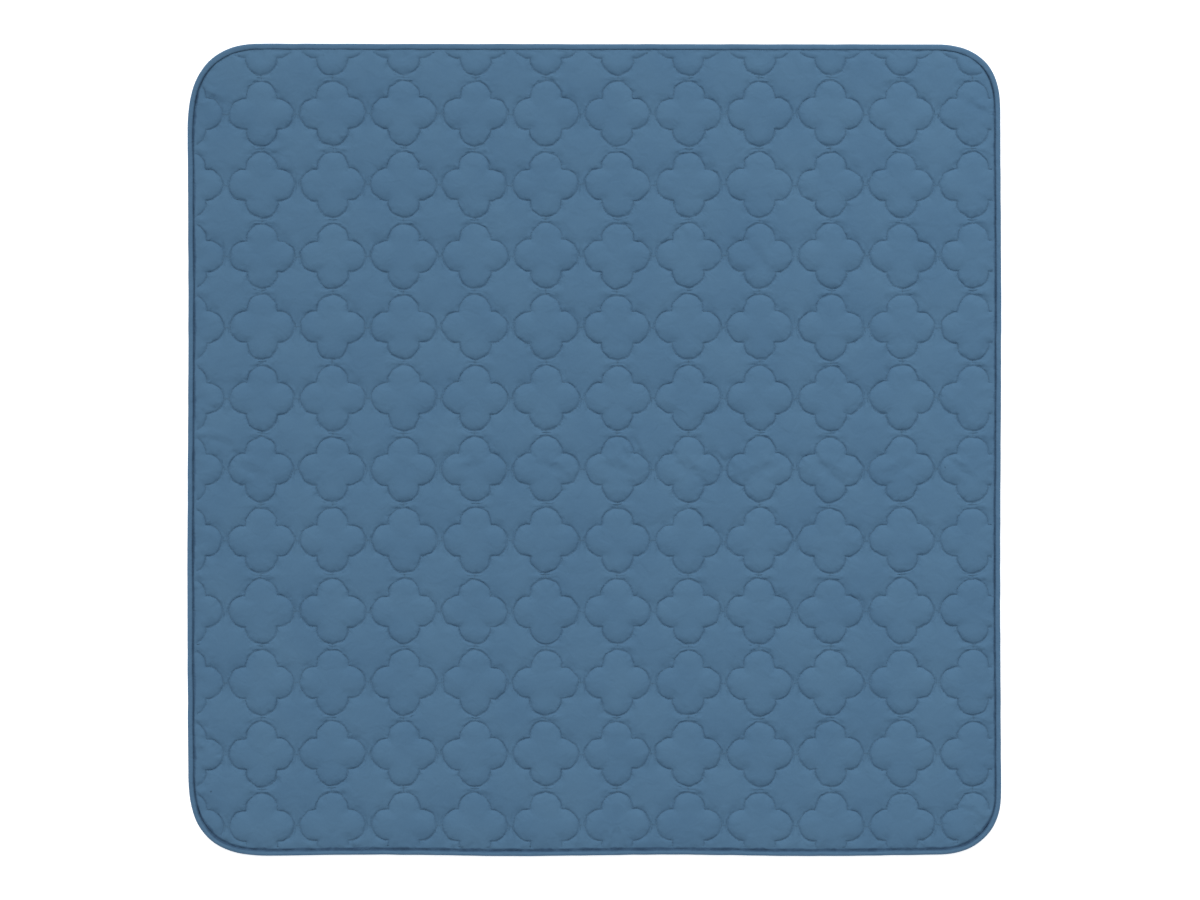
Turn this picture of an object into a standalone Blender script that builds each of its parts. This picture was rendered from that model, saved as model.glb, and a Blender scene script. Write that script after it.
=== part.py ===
"""A square baby blanket: two cotton cloths with light wadding between them, quilted all over
in a trellis of four-lobed rings, its rounded edge wrapped in a narrow folded binding.

It lies flat, face up. +Z is up, z = 0 is the floor under it, and the origin is the middle of
its underside. Lengths are in metres.
"""
import math
from collections import namedtuple

import bmesh
import bpy
from mathutils import Vector
from mathutils.geometry import delaunay_2d_cdt, intersect_line_line_2d, intersect_point_line

# The whole blanket, laid flat
SIZE_X = 0.800
SIZE_Y = 0.7985
SIDE_STEPS = 10
CORNER_STEPS = 12

# How each corner is rounded: how far the rounding reaches along x and along y, and how square
# it is, where 2 is an ellipse and more is squarer
Corner = namedtuple("Corner", "right back reach_x reach_y squareness")
CORNERS = (
    Corner(right=1, back=1, reach_x=0.067, reach_y=0.067, squareness=2.56),
    Corner(right=-1, back=1, reach_x=0.076, reach_y=0.090, squareness=2.60),
    Corner(right=-1, back=-1, reach_x=0.093, reach_y=0.093, squareness=3.10),
    Corner(right=1, back=-1, reach_x=0.064, reach_y=0.061, squareness=2.24),
)

# How far the sewn edge strays from straight: waves along the front edge and the two sides, and
# a slow drift of the back edge, all on the outer edge and fading to nothing at the middle
FRONT_WAVE = 0.0007
FRONT_WAVE_LENGTH = 0.290
SIDE_WAVE = 0.0005
SIDE_WAVE_LENGTH = 0.520
BACK_DRIFT = 0.0009

# The binding: a folded strip of cloth in the shape of a flattened C, rounded where it turns
# over the edge and pressed down where it is sewn
BINDING_WIDTH = 0.0055
BINDING_HEIGHT = 0.0044
BINDING_ROUND = 0.0012
BINDING_PRESS = 0.0004
CLOTH_FOLD = 0.0010
GAP = 0.0003

# The quilted panel
CROWN_HEIGHT = 0.0075
LINE_HEIGHT = 0.0027
RISE = 0.019

# Some puffs are a little fuller than others, in slow waves across the quilt
PUFF_VARIATION = 0.0004
PUFF_WAVE_X = 0.203
PUFF_WAVE_Y = 0.233

# The trellis: four-lobed rings on a square grid, joined tip to tip by short bars
PITCH = 0.070
LOBE_OFFSET = 0.0165
LOBE_RADIUS = 0.0155
RING_STEPS = 16
TRELLIS_SHIFT = Vector((0.0225, -0.0195))

# Where the cloth has risen between the lines: this far from a ring, from a bar and from the
# seam, how far apart such points stand along the seam, and how much room each needs
SHOULDER = 0.0070
BAR_SHOULDER = 0.0120
SEAM_SHOULDER = 0.0080
SEAM_SPACING = 0.0180
ROOM = 0.0050

# How the upper face's plan is divided into triangles, and how its smooth shading breaks
KEEP_INSIDE = 1
PLAN_TOLERANCE = 0.00001
SHARP_ANGLE = math.radians(40)


def uneven(x, y):
    """Moves a point of the true square to where the sewn, slightly uneven blanket has it."""
    half_x = SIZE_X / 2
    half_y = SIZE_Y / 2
    front = max(0.0, -y / half_y) ** 2
    back = max(0.0, y / half_y) ** 2
    side = (x / half_x) ** 2
    moved_y = front * FRONT_WAVE * math.sin(math.tau * x / FRONT_WAVE_LENGTH)
    moved_y -= back * BACK_DRIFT * x / SIZE_X
    moved_x = side * SIDE_WAVE * math.sin(math.tau * y / SIDE_WAVE_LENGTH)
    return x + moved_x, y + moved_y


def outline(inset):
    """The blanket's outline this far inside its outer edge, anticlockwise from above."""
    points = []
    for corner in CORNERS:
        reach_x = corner.reach_x - inset
        reach_y = corner.reach_y - inset
        core_x = corner.right * (SIZE_X / 2 - corner.reach_x)
        core_y = corner.back * (SIZE_Y / 2 - corner.reach_y)
        arc = []
        for step in range(CORNER_STEPS + 1):
            angle = math.pi / 2 * step / CORNER_STEPS
            share_x = math.cos(angle) ** (2 / corner.squareness)
            share_y = math.sin(angle) ** (2 / corner.squareness)
            arc.append(Vector((core_x + corner.right * reach_x * share_x,
                               core_y + corner.back * reach_y * share_y)))
        if corner.right != corner.back:
            arc.reverse()
        if points:
            points += straight_side(points[-1], arc[0])
        points += arc
    return points + straight_side(points[-1], points[0])


def straight_side(start, end):
    """The points between two corners."""
    return [start.lerp(end, step / SIDE_STEPS) for step in range(1, SIDE_STEPS)]


def spaced(ring, spacing):
    """Points along a ring, no further apart than this."""
    points = []
    for start, end in zip(ring, ring[1:] + ring[:1]):
        count = math.ceil((end - start).length / spacing)
        points += [start.lerp(end, step / count) for step in range(count)]
    return points


def lobe_reach(angle):
    """How far a four-lobed ring reaches from its middle in this direction."""
    quarter = math.pi / 2
    off_axis = (angle + quarter / 2) % quarter - quarter / 2
    across = LOBE_OFFSET * math.sin(off_axis)
    return LOBE_OFFSET * math.cos(off_axis) + math.sqrt(LOBE_RADIUS ** 2 - across ** 2)


def polar(angle, distance):
    return Vector((math.cos(angle) * distance, math.sin(angle) * distance))


def tile_lines():
    """The stitch lines of one repeat about its middle: the ring and its four half bars."""
    angles = [math.tau * step / RING_STEPS for step in range(RING_STEPS)]
    ring = [polar(angle, lobe_reach(angle)) for angle in angles]
    lines = list(zip(ring, ring[1:] + ring[:1]))
    for quarter in range(4):
        angle = math.pi / 2 * quarter
        lines.append((polar(angle, lobe_reach(angle)), polar(angle, PITCH / 2)))
    return lines


def tile_puffs():
    """The points of one repeat where the cloth is full: its middle, a ring inside the lobes,
    and the field between four rings."""
    half = PITCH / 2
    puffs = [Vector((0, 0)), Vector((half, half))]
    for eighth in range(8):
        angle = math.tau * eighth / 8
        puffs.append(polar(angle, lobe_reach(angle) - SHOULDER))
        if eighth % 2:
            puffs.append(polar(angle, lobe_reach(angle) + SHOULDER))
    for side in (-1, 1):
        puffs.append(Vector((half, side * BAR_SHOULDER)))
        puffs.append(Vector((side * BAR_SHOULDER, half)))
    return puffs


def tile_middles():
    """The middles of the repeats that reach the blanket."""
    count = math.ceil(SIZE_X / PITCH / 2) + 1
    steps = range(-count, count + 1)
    return [TRELLIS_SHIFT + Vector((column * PITCH, row * PITCH)) for column in steps for row in steps]


def distance_to_lines(point, lines):
    """The distance from a point to the nearest of these lines."""
    nearest = math.inf
    for start, end in lines:
        foot, share = intersect_point_line(point, start, end)
        if share < 0:
            foot = start
        elif share > 1:
            foot = end
        nearest = min(nearest, (foot.xy - point).length)
    return nearest


def distance_to_trellis(point, lines):
    """The distance to the nearest stitch line, read in the repeat that holds the point."""
    place = point - TRELLIS_SHIFT
    half = PITCH / 2
    local = Vector(((place.x + half) % PITCH - half, (place.y + half) % PITCH - half))
    return distance_to_lines(local, lines)


def inside(point, ring):
    """Whether a point lies inside this convex anticlockwise ring."""
    for start, end in zip(ring, ring[1:] + ring[:1]):
        if (end - start).cross(point - start) < 0:
            return False
    return True


def trim_line(start, end, ring):
    """The stretch of a stitch line that lies inside the ring, or nothing."""
    start_in = inside(start, ring)
    end_in = inside(end, ring)
    if start_in and end_in:
        return start, end
    if not start_in and not end_in:
        return None
    for side_start, side_end in zip(ring, ring[1:] + ring[:1]):
        meeting = intersect_line_line_2d(start, end, side_start, side_end)
        if meeting:
            return (start, meeting) if start_in else (meeting, end)
    return None


def panel_plan(tongue, seam):
    """The panel's upper face seen from above: its points, its lines and how high each stands."""
    trellis = tile_lines()
    seam_lines = list(zip(seam, seam[1:] + seam[:1]))
    points = tongue + seam
    edges = []
    for first in (0, len(tongue)):
        count = len(tongue)
        edges += [(first + step, first + (step + 1) % count) for step in range(count)]
    puffs = []
    for middle in tile_middles():
        for start, end in trellis:
            kept = trim_line(middle + start, middle + end, seam)
            if kept and (kept[0] - kept[1]).length > GAP:
                edges.append((len(points), len(points) + 1))
                points += kept
        puffs += [middle + puff for puff in tile_puffs()]
    for puff in puffs:
        if inside(puff, seam) and distance_to_lines(puff, seam_lines) > SEAM_SHOULDER + ROOM:
            points.append(puff)
    for puff in spaced(outline(BINDING_WIDTH + GAP + SEAM_SHOULDER), SEAM_SPACING):
        if distance_to_trellis(puff, trellis) > ROOM:
            points.append(puff)
    plan, _, faces, *_ = delaunay_2d_cdt(points, edges, [], KEEP_INSIDE, PLAN_TOLERANCE)

    def height(point):
        if not inside(point, seam):
            return LINE_HEIGHT
        depth = min(distance_to_trellis(point, trellis), distance_to_lines(point, seam_lines))
        share = math.sqrt(1 - (1 - min(depth / RISE, 1)) ** 2)
        swell = math.cos(math.tau * point.x / PUFF_WAVE_X) * math.cos(math.tau * point.y / PUFF_WAVE_Y)
        return LINE_HEIGHT + (CROWN_HEIGHT - LINE_HEIGHT + swell * PUFF_VARIATION) * share

    return [(point.x, point.y, height(point)) for point in plan], faces


def add_wall(mesh, stations):
    """A wall of faces through rings of the outline, each at an inset and a height. Gives the
    last ring's edges."""
    step = mesh.verts.layers.int.new("step")
    first_inset, first_z = stations[0]
    verts = []
    for index, point in enumerate(outline(first_inset)):
        verts.append(mesh.verts.new((point.x, point.y, first_z)))
        verts[-1][step] = index
    edges = [mesh.edges.new(pair) for pair in zip(verts, verts[1:] + verts[:1])]
    for inset, z in stations[1:]:
        ring = outline(inset)
        grown = bmesh.ops.extrude_edge_only(mesh, edges=edges)["geom"]
        verts = {item for item in grown if isinstance(item, bmesh.types.BMVert)}
        for vert in verts:
            vert.co = (*ring[vert[step]], z)
        edges = [item for item in grown if isinstance(item, bmesh.types.BMEdge) and verts.issuperset(item.verts)]
    return edges


def finish_piece(mesh, name, material, collection):
    """Moves the points to the sewn blanket's uneven places and makes the object."""
    for vert in mesh.verts:
        vert.co.x, vert.co.y = uneven(vert.co.x, vert.co.y)
    bmesh.ops.recalc_face_normals(mesh, faces=mesh.faces)
    data = bpy.data.meshes.new(name)
    mesh.to_mesh(data)
    mesh.free()
    data.materials.append(material)
    data.shade_smooth()
    data.set_sharp_from_angle(angle=SHARP_ANGLE)
    piece = bpy.data.objects.new(name, data)
    collection.objects.link(piece)
    return piece


def quilted_panel(material, collection):
    """The quilt itself: an upper face of puffs between sunk stitch lines, a thin tongue all
    round that the binding wraps, and a flat underside."""
    tongue_inset = CLOTH_FOLD + GAP
    seam_inset = BINDING_WIDTH + GAP
    points, faces = panel_plan(outline(tongue_inset), outline(seam_inset))
    mesh = bmesh.new()
    verts = [mesh.verts.new(point) for point in points]
    for face in faces:
        mesh.faces.new([verts[index] for index in face])
    tongue_under = CLOTH_FOLD + GAP
    rim = add_wall(mesh, (
        (tongue_inset, LINE_HEIGHT),
        (tongue_inset, tongue_under),
        (seam_inset, tongue_under),
        (seam_inset, 0),
    ))
    bmesh.ops.contextual_create(mesh, geom=rim)
    bmesh.ops.remove_doubles(mesh, verts=mesh.verts, dist=GAP / 3)
    return finish_piece(mesh, "quilted_panel", material, collection)


def edge_binding(material, collection):
    """The folded strip round the edge: a flattened C, open inwards, whose two legs hold the
    panel's tongue."""
    slot_floor = CLOTH_FOLD
    slot_roof = LINE_HEIGHT + GAP
    section = (
        (BINDING_ROUND, 0),
        (0, BINDING_ROUND),
        (0, BINDING_HEIGHT - BINDING_ROUND),
        (BINDING_ROUND, BINDING_HEIGHT),
        (BINDING_WIDTH - 2 * BINDING_PRESS, BINDING_HEIGHT - BINDING_PRESS),
        (BINDING_WIDTH, slot_roof),
        (CLOTH_FOLD, slot_roof),
        (CLOTH_FOLD, slot_floor),
        (BINDING_WIDTH, slot_floor),
        (BINDING_WIDTH, 0),
    )
    mesh = bmesh.new()
    add_wall(mesh, section + section[:1])
    bmesh.ops.remove_doubles(mesh, verts=mesh.verts, dist=GAP / 3)
    return finish_piece(mesh, "edge_binding", material, collection)


def linear(hex_colour):
    """An sRGB hex colour as linear values."""
    values = [int(hex_colour[start:start + 2], 16) / 255 for start in (0, 2, 4)]
    return [value / 12.92 if value <= 0.04045 else ((value + 0.055) / 1.055) ** 2.4 for value in values]


def cotton(name, hex_colour):
    """Woven cotton: matt, with no metal in it."""
    material = bpy.data.materials.new(name)
    material.use_nodes = True
    shader = material.node_tree.nodes["Principled BSDF"]
    shader.inputs["Base Color"].default_value = (*linear(hex_colour), 1)
    shader.inputs["Roughness"].default_value = 0.9
    shader.inputs["Metallic"].default_value = 0
    return material


def main():
    for thing in list(bpy.data.objects):
        bpy.data.objects.remove(thing, do_unlink=True)
    blanket = bpy.data.collections.new("padded_blanket")
    bpy.context.scene.collection.children.link(blanket)
    quilted_panel(cotton("quilted_cotton", "52728D"), blanket)
    edge_binding(cotton("binding_cotton", "4F6E88"), blanket)


main()
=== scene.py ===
import math

import bmesh
import bpy
import numpy as np
from mathutils import Matrix, Vector, noise


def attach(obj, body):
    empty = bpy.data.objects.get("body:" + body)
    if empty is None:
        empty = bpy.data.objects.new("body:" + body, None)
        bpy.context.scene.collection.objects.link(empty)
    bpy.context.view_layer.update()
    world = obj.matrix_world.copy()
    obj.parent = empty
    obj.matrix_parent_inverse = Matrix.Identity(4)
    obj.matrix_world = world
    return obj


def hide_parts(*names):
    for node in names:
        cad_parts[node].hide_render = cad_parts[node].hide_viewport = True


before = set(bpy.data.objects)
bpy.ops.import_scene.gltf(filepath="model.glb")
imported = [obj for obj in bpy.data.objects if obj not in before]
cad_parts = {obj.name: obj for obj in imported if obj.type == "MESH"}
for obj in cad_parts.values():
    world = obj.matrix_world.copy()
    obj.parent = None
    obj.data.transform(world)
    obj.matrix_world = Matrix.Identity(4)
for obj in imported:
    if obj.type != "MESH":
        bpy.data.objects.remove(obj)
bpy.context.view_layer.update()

# A padded blanket laid flat, face up: cotton over light wadding, quilted in a trellis of
# four-lobed rings and bound round its edge. Lengths are in metres where nothing else is said
SIZE_X = 0.800
SIZE_Y = 0.7985

# How each corner is rounded: which one, how far along x and y, and how square, where 2 is an ellipse
CORNERS = (
    {"right": 1, "back": 1, "reach_x": 0.067, "reach_y": 0.067, "squareness": 2.56},
    {"right": -1, "back": 1, "reach_x": 0.076, "reach_y": 0.090, "squareness": 2.60},
    {"right": -1, "back": -1, "reach_x": 0.093, "reach_y": 0.093, "squareness": 3.10},
    {"right": 1, "back": -1, "reach_x": 0.064, "reach_y": 0.061, "squareness": 2.24},
)
CORNER_STEPS = 24

# How far the sewn edge strays from straight
FRONT_WAVE = 0.0007
FRONT_WAVE_LENGTH = 0.290
SIDE_WAVE = 0.0005
SIDE_WAVE_LENGTH = 0.520
BACK_DRIFT = 0.0009

# The trellis of four-lobed rings, joined tip to tip by short bars: its repeat, how far the middle
# of a lobe is from the middle of its ring, and the place of one ring
PITCH = 0.070
HALF = PITCH / 2
LOBE_OFFSET = 0.0165
LOBE_RADIUS = 0.0155
TRELLIS_SHIFT = (0.0225, -0.0195)

# Where two lobes meet, as far along x as along y, and how far out the tip of a lobe is
CUSP = (LOBE_OFFSET + math.sqrt(2 * LOBE_RADIUS ** 2 - LOBE_OFFSET ** 2)) / 2
TIP = LOBE_OFFSET + LOBE_RADIUS

# The heights of the quilt: at a stitch line, of a puff above that, and how far a puff takes to
# rise. Some puffs are fuller than others by a share that changes over this size
LINE_HEIGHT = 0.0026
CROWN_RISE = 0.0040
RISE_RUN = 0.015
CROWN_SPREAD = 0.12
CROWN_SPREAD_SIZE = 0.055

# The groove that the stitches pull in, deeper in some places, and the channel under it
GROOVE_DEPTH = 0.00043
GROOVE_WIDTH = 0.0009
GROOVE_SPREAD = 0.5
GROOVE_SPREAD_SIZE = 0.011
BACK_CHANNEL = 0.0008
BACK_CHANNEL_WIDTH = 0.003

# The seam along the binding. The quilt's edge goes on inside the binding as a thin tongue
SEAM_INSET = 0.0058
SEAM_ROWS = (0.0082, 0.0066, 0.0058, 0.0030)
TONGUE_UNDER = 0.0014

# The folded strip of the binding in section: inset from the outer edge and height, in mm
BINDING_SECTION = (
    (5.50, 3.02), (5.20, 3.45), (4.40, 3.88), (3.20, 4.22), (1.80, 4.40), (0.80, 4.22),
    (0.25, 3.55), (0.00, 2.30), (0.10, 1.50), (0.55, 0.75), (1.50, 0.18), (2.90, 0.00),
    (4.40, 0.00), (5.30, 0.10), (5.50, 0.40), (5.30, 0.66), (4.20, 0.80), (2.80, 1.00),
    (1.60, 1.45), (1.10, 2.20), (1.60, 2.90), (2.80, 3.05), (4.30, 2.95), (5.30, 2.80),
)
BINDING_WIDTH = 0.0055
BINDING_HEIGHT = 0.0044
BINDING_SPACING = 0.0018

# How unevenly the binding is sewn: its outside drifts, its top puckers, and its inner edge, from
# this inset on and above this share of its height, wobbles. Each has the size of its humps
BINDING_DRIFT = 0.0003
BINDING_DRIFT_SIZE = 0.016
BINDING_PUCKER = 0.0003
BINDING_PUCKER_SIZE = 0.007
BINDING_WOBBLE = 0.0005
BINDING_WOBBLE_SIZE = 0.030
INNER_EDGE_FROM = 0.0035
INNER_EDGE_RUN = 0.002
INNER_EDGE_ABOVE = 0.7

# How far the quilting strays from true, over wide and over short stretches, and how far inside
# the seam it is free to
WIDE_WANDER = 0.0010
WIDE_WANDER_SIZE = 0.075
FINE_WANDER = 0.0008
FINE_WANDER_SIZE = 0.0065
WANDER_RUN = 0.020

# Soft creases: start x, y and end x, y, depth and width, in mm
CREASES = (
    (-391, -277, -360, -303, 1.0, 3.2), (-389, -292, -384, -339, 1.3, 2.4), (-386, 350, -357, 341, 0.8, 3.0),
    (-330, 285, -296, 297, 0.9, 3.2), (-266, 294, -240, 306, 0.8, 3.0), (4, -13, 40, -25, 1.2, 3.4),
    (76, -9, 110, -31, 1.5, 3.6), (145, -31, 178, -13, 1.3, 3.2), (213, -7, 248, -33, 1.7, 3.6),
    (287, -27, 319, -12, 1.3, 3.4), (345, -6, 374, -27, 1.3, 3.2), (-352, -12, -322, -27, 1.3, 3.2),
    (22, 12, 34, -12, 1.4, 2.8), (40, 14, 47, -10, 1.3, 2.6), (118, -3, 140, -20, 1.5, 3.0),
    (-62, -12, -30, -24, 1.1, 3.2), (-130, -22, -104, -12, 1.0, 3.0),
    (14, -366, 11, -391, 1.0, 1.9), (22, -362, 21, -392, 1.3, 2.0), (32, -368, 35, -392, 1.0, 1.8),
    (358, -350, 383, -367, 1.0, 2.8), (-388, 14, -350, 3, 1.0, 3.0), (-386, 45, -354, 32, 0.9, 3.0),
    (150, 206, 172, 176, 0.8, 3.2), (365, 338, 392, 330, 1.4, 2.2),
)

# A crease's depth is divided by this, which takes it to metres and down by a third. It dies out
# this near a stitch line. The cloth it pulls in stands up as a lower ridge on its far side, whose
# share of the depth, place and width are in widths of the crease
CREASE_DIVISOR = 1500
CREASE_CLEAR = 0.003
RIDGE_SHARE = 0.7
RIDGE_AT = 1.9
RIDGE_WIDTH = 1.1

# The mesh is finer this far along and across a crease, in its half lengths and widths
REFINED_ALONG = 1.05
REFINED_ACROSS = 2.6
REFINED_LENGTH = 0.0034

# The old fold across the middle: small slanting ridges, stronger towards the right
FOLD_Y = -0.021
FOLD_WIDTH = 0.016
FOLD_RISE = 0.0003
FOLD_SHARE = 0.6
FOLD_RIDGE_SIZE = 0.017
FOLD_SLANT = (0.8, 0.6)
FOLD_STRETCH = 2.2

# The puckers across the stitches: their size, how far from a line they reach, their height, and
# how near the line they start. Inside a ring the noise is read this far off, so that they are
# other ones than outside it. Between points whose nearest places on the lines are farther apart
# than this, beyond the points' own distance, there are none
PUCKER_SIZE = 0.0040
PUCKER_REACH = 0.0050
PUCKER_RISE = 0.0016
PUCKER_CLEAR = 0.0006
PUCKER_OTHER = 0.02
FOOT_LEAP = 0.0004

# The mesh of the cloth: how many points round a ring, rings of points at these distances from a
# stitch line, and then at these shares of the way on to the middle of the puff
FACE_STEPS = 80
NEAR_LINE = (0.0007, 0.0020)
FACE_SHARES = (0.22, 0.55, 1.0)
BACK_STEPS = 24
NEAR_BACK_LINE = (0.0040,)
BACK_SHARES = (1.0,)
CENTRE_RING = 0.0075

# Points closer than these are merged: in the trellis, along its cut edge, and in the binding.
# The last one is next to nothing
TILE_MERGE = 0.00005
CUT_SPACING = 0.0020
BINDING_MERGE = 0.000002
TINY = 0.000001

# The cloth simulation of the upper cloth: its length, the push of the wadding, how much fuller
# the cloth is than what it covers, and the cloth's weight and stiffness
SIM_FRAMES = 12
SIM_PRESSURE = 1.0
SIM_FULLNESS = 0.012
SIM_MASS = 0.15
SIM_STRETCH = 15
SIM_SHEAR = 5
SIM_BENDING = 0.5
SIM_QUALITY = 5

# It starts with the puffs this full and a little rough, but not beside the stitches, which hold it
SIM_START = 0.6
SIM_JITTER = 0.00005
SIM_JITTER_FROM = 0.0005
SEWN_WITHIN = 0.0001

# Of its result: how far sideways a point may move, less near a bar, how softly the highest
# puffs are held down, and its share against the plain puffs
SIM_SHIFT = 0.0005
BAR_CALM = 0.006
HIGH_SOFTNESS = 0.0008
SIM_SHARE = 0.6

# The middles of the puffs, this far from any bar and line, are smoothed this often
MIDDLE_FROM_BAR = 0.012
MIDDLE_FROM_LINE = 0.008
MIDDLE_PASSES = 8

# Noise is turned up, because it seldom goes far from nothing, and each seed reads another place
NOISE_GAIN = 1.4
SEED_STEPS = (3.1, 1.7, 2.3)

# The stitches, and how much of its width a thread stands out of the groove
STITCH_LENGTH = 0.0027
THREAD_WIDTH = 0.00042
THREAD_STAND = 0.3
LOBE_STITCHES = 16

# The cloth's threads are 0.3 mm apart, which is too fine to show, so they are drawn coarser. Its
# other patterns have their real sizes: slubs, with their share in the tone and in the relief of
# the weave, uneven dye, soft wrinkles, with their height against the gathers', and the gathers at
# the stitches, which reach this far and stand up this much
THREAD_SPACING = 0.0007
SLUB_SIZE = 0.0025
SLUB_TONE = 0.35
SLUB_RISE = 0.6
DYE_SIZE = 0.060
WRINKLE_SIZE = 0.016
WRINKLE_RISE = 1.6
PLEAT_SIZE = 0.0025
PLEAT_REACH = 0.0055
PLEAT_RISE = 0.0012

# How far from the stitches and from the binding's seam the colour is darkened as painted shade, and over
# what length along the stitches the strength of that painted shade changes
GROOVE_SHADE_TO = 0.0010
SEAM_SHADE_TO = 0.0018
SHADE_VARIATION_SIZE = 0.010

# By this much the painted shade in the seam's ditch is narrower at the back edge, towards the light, and
# wider at the front edge, away from it. An edge counts as back or front from this share of its direction on
BACK_SEAM_SHADE_NARROWING = 0.0018
FRONT_SEAM_SHADE_WIDENING = 0.0005
FACING_FROM = 0.5
FACING_RUN = 0.4

# The thread's plies, drawn coarser than the real 0.4 mm, how high they stand, and its flecks
TWIST_LENGTH = 0.0006
TWIST_RISE = 0.0001
FLECK_SIZE = 0.004

# The camera, straight above, and the width that it sees
CAMERA_PLACE = (0.0056, -0.0003, 3.0)
FRAME_WIDTH = 1.1818
SENSOR_WIDTH = 36

# The lights, which point at the middle of the blanket, and the floor
SOFTBOX_PLACE = (-0.35, 2.1, 2.1)
SOFTBOX_POWER = 1.56
SOFTBOX_SPREAD = math.radians(35)
CARD_PLACE = (1.1, 1.0, 1.0)
CARD_POWER = 4.0
CARD_SIZE = 0.8
FILL_LIGHT = 0.48
FLOOR_SIZE = 6
FLOOR_GLOW = 0.6


def uneven(points):
    """Moves points of the true square to where the sewn, slightly uneven blanket has them."""
    x = points[:, 0]
    y = points[:, 1]
    front = np.clip(-y / (SIZE_Y / 2), 0, None) ** 2
    back = np.clip(y / (SIZE_Y / 2), 0, None) ** 2
    side = (x / (SIZE_X / 2)) ** 2
    moved_y = front * FRONT_WAVE * np.sin(math.tau * x / FRONT_WAVE_LENGTH)
    moved_y -= back * BACK_DRIFT * x / SIZE_X
    moved_x = side * SIDE_WAVE * np.sin(math.tau * y / SIDE_WAVE_LENGTH)
    points[:, 0] = x + moved_x
    points[:, 1] = y + moved_y


def outline(inset):
    """The blanket's outline this far inside its outer edge, anticlockwise from above."""
    points = []
    for corner in CORNERS:
        reach_x = corner["reach_x"] - inset
        reach_y = corner["reach_y"] - inset
        core_x = corner["right"] * (SIZE_X / 2 - corner["reach_x"])
        core_y = corner["back"] * (SIZE_Y / 2 - corner["reach_y"])
        arc = []
        for step in range(CORNER_STEPS + 1):
            angle = math.pi / 2 * step / CORNER_STEPS
            share_x = math.cos(angle) ** (2 / corner["squareness"])
            share_y = math.sin(angle) ** (2 / corner["squareness"])
            arc.append(Vector((core_x + corner["right"] * reach_x * share_x,
                               core_y + corner["back"] * reach_y * share_y, 0)))
        if corner["right"] != corner["back"]:
            arc.reverse()
        points += arc
    return points


def sides(inset):
    """The short sides of the outline at this inset: where each starts and which way it runs."""
    ring = outline(inset)
    return [(start, (end - start).normalized()) for start, end in zip(ring, ring[1:] + ring[:1])]


def inside_side(points, start, along):
    """How far inside one side of the outline each point lies."""
    return along.x * (points[:, 1] - start.y) - along.y * (points[:, 0] - start.x)


def seam_distance(points, inset):
    """How far inside the outline at this inset each point lies, less than nothing outside."""
    nearest = np.full(len(points), np.inf)
    for start, along in sides(inset):
        nearest = np.minimum(nearest, inside_side(points, start, along))
    return nearest


def seam_outward(points):
    """The direction from each point to the nearest stretch of the blanket's edge."""
    nearest = np.full(len(points), np.inf)
    outward = np.zeros((len(points), 2))
    for start, along in sides(SEAM_INSET):
        depth = inside_side(points, start, along)
        outward[depth < nearest] = (along.y, -along.x)
        nearest = np.minimum(nearest, depth)
    return outward


def in_repeat(points):
    """How far each point is from the middle of its repeat along the axis on which it is
    farther, and along the other one."""
    u = np.abs((points[:, 0] - TRELLIS_SHIFT[0] + HALF) % PITCH - HALF)
    v = np.abs((points[:, 1] - TRELLIS_SHIFT[1] + HALF) % PITCH - HALF)
    return np.maximum(u, v), np.minimum(u, v)


def line_distance(points):
    """The distance of each point from the nearest stitch line of the trellis."""
    far, near = in_repeat(points)
    ring = np.abs(np.hypot(far - LOBE_OFFSET, near) - LOBE_RADIUS)
    past_cusp = np.arctan2(near, far - LOBE_OFFSET) > math.atan2(CUSP, CUSP - LOBE_OFFSET)
    ring = np.where(past_cusp, np.hypot(far - CUSP, near - CUSP), ring)
    bar = np.hypot(np.clip(TIP - far, 0, None), near)
    return np.minimum(ring, bar)


def bar_distance(points):
    """How far each point is from the middle of the nearest short bar of the trellis."""
    far, near = in_repeat(points)
    return np.hypot(HALF - far, near)


def line_foot(points):
    """The nearest point of the trellis's ring lines, or for a point by a bar, its place along it."""
    column = np.floor((points[:, 0] - TRELLIS_SHIFT[0] + HALF) / PITCH)
    row = np.floor((points[:, 1] - TRELLIS_SHIFT[1] + HALF) / PITCH)
    middle_x = TRELLIS_SHIFT[0] + column * PITCH
    middle_y = TRELLIS_SHIFT[1] + row * PITCH
    u = points[:, 0] - middle_x
    v = points[:, 1] - middle_y
    wide = np.abs(u) > np.abs(v)
    lobe_x = np.where(wide, np.sign(u) * LOBE_OFFSET, 0)
    lobe_y = np.where(wide, 0, np.sign(v) * LOBE_OFFSET)
    away = np.hypot(u - lobe_x, v - lobe_y) + TINY
    foot_x = middle_x + lobe_x + (u - lobe_x) / away * LOBE_RADIUS
    foot_y = middle_y + lobe_y + (v - lobe_y) / away * LOBE_RADIUS
    by_bar = (np.maximum(np.abs(u), np.abs(v)) > TIP) & (np.minimum(np.abs(u), np.abs(v)) < HALF - TIP)
    foot_x = np.where(by_bar, middle_x + np.where(wide, u, 0), foot_x)
    foot_y = np.where(by_bar, middle_y + np.where(wide, 0, v), foot_y)
    inside = away < LOBE_RADIUS
    return np.stack([foot_x, foot_y, np.where(inside, PUCKER_OTHER, 0.0)], axis=1)


def lobe_reach(angle):
    """How far a four-lobed ring reaches from its middle in this direction."""
    quarter = math.pi / 2
    off_axis = (angle + quarter / 2) % quarter - quarter / 2
    across = LOBE_OFFSET * math.sin(off_axis)
    return LOBE_OFFSET * math.cos(off_axis) + math.sqrt(LOBE_RADIUS ** 2 - across ** 2)


def square_reach(angle):
    """How far the repeat's square border is from its middle in this direction."""
    return HALF / max(abs(math.cos(angle)), abs(math.sin(angle)))


def inner_reach(angle, start, share):
    """Part of the way from beside the line to the ring round the puff's middle."""
    outside = lobe_reach(angle) - start
    return outside + (CENTRE_RING - outside) * share


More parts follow.
